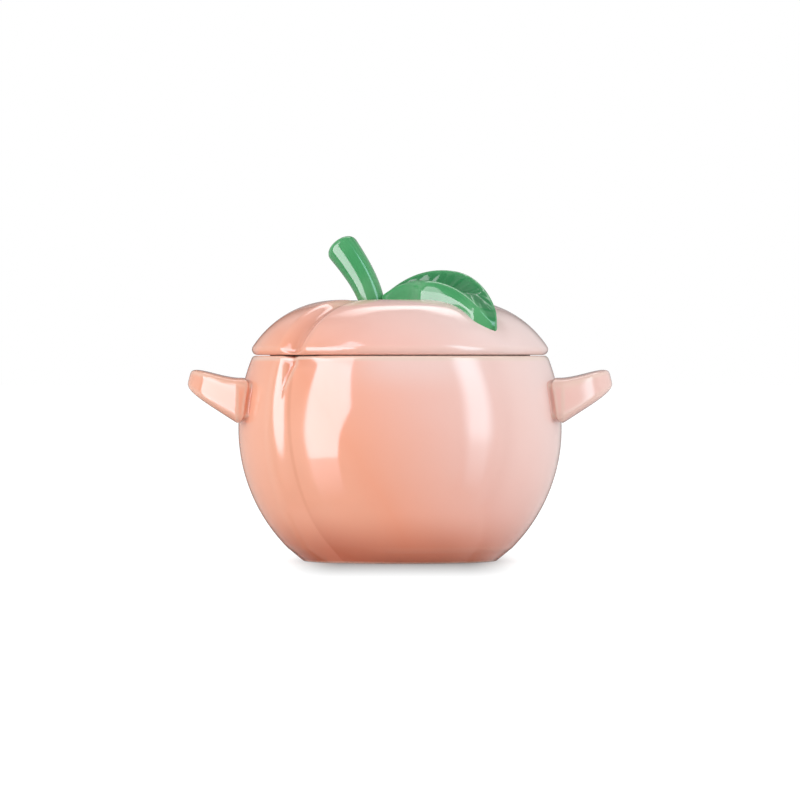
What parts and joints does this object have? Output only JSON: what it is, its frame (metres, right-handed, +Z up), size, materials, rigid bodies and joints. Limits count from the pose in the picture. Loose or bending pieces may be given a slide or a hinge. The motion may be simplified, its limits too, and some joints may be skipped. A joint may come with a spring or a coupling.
{
  "type": "mini cocotte",
  "caption": "Peach-shaped glazed stoneware pot for one portion, with lug handles and a lift-off domed lid that carries a stem and a leaf.",
  "frame": {"origin": "centre of the foot, on the surface that the pot stands on", "axes": "+Z up along the pot's axis; +X from the left handle to the right one; the crease and the leaf are on the -Y side"},
  "size_m": [0.1696, 0.1292, 0.1299],
  "materials": {
    "peach_glaze": "glossy glaze, orange at the front left fading to pale pink",
    "cream_glaze": "glossy pale liner glaze",
    "green_glaze": "glossy translucent green glaze, paler on thin edges"
  },
  "bodies": {
    "pot": {"pot_body": "peach_glaze", "left_handle": "peach_glaze", "right_handle": "peach_glaze"},
    "lid_lifter": {"lid_ring": "cream_glaze"},
    "lid": {"lid_dome": "peach_glaze", "stem": "green_glaze", "leaf": "green_glaze"}
  },
  "joints": [
    {"name": "lid_lift", "type": "slide", "parent": "pot", "child": "lid_lifter", "axis": [0, 0, 1], "range_m": [0, 0.1]},
    {"name": "lid_turn", "type": "hinge", "parent": "lid_lifter", "child": "lid", "pos_m": [0, 0, 0.0823], "axis": [0, 0, 1], "continuous": true}
  ]
}
